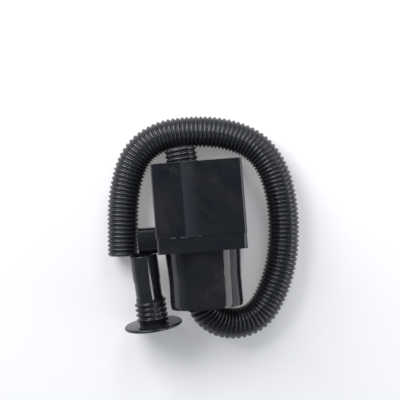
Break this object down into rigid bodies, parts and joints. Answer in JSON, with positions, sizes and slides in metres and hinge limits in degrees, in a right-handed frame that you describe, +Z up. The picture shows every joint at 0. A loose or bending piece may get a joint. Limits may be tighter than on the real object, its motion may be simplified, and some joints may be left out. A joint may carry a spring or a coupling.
{
  "type": "rainwater diverter kit",
  "caption": "Moulded downpipe diverter with square socket, round spigot and side outlet, corrugated hose, and a flanged tank connector with nut and washer.",
  "frame": {"origin": "middle of the box's back wall, on the surface that the part lies on", "axes": "+X to the right seen from the front, +Y along the downpipe towards the box's open upper end, +Z up, out of the front of the body"},
  "size_m": [0.1639, 0.1918, 0.0725],
  "materials": {
    "moulded_body": "gloss black",
    "hose_plastic": "semi-gloss black",
    "moulded_fitting": "semi-gloss black",
    "washer_rubber": "matt black"
  },
  "bodies": {
    "root": {"diverter_body": "moulded_body", "hose": "hose_plastic", "tank_connector": "moulded_fitting", "back_nut": "moulded_fitting", "sealing_washer": "washer_rubber"}
  },
  "joints": []
}
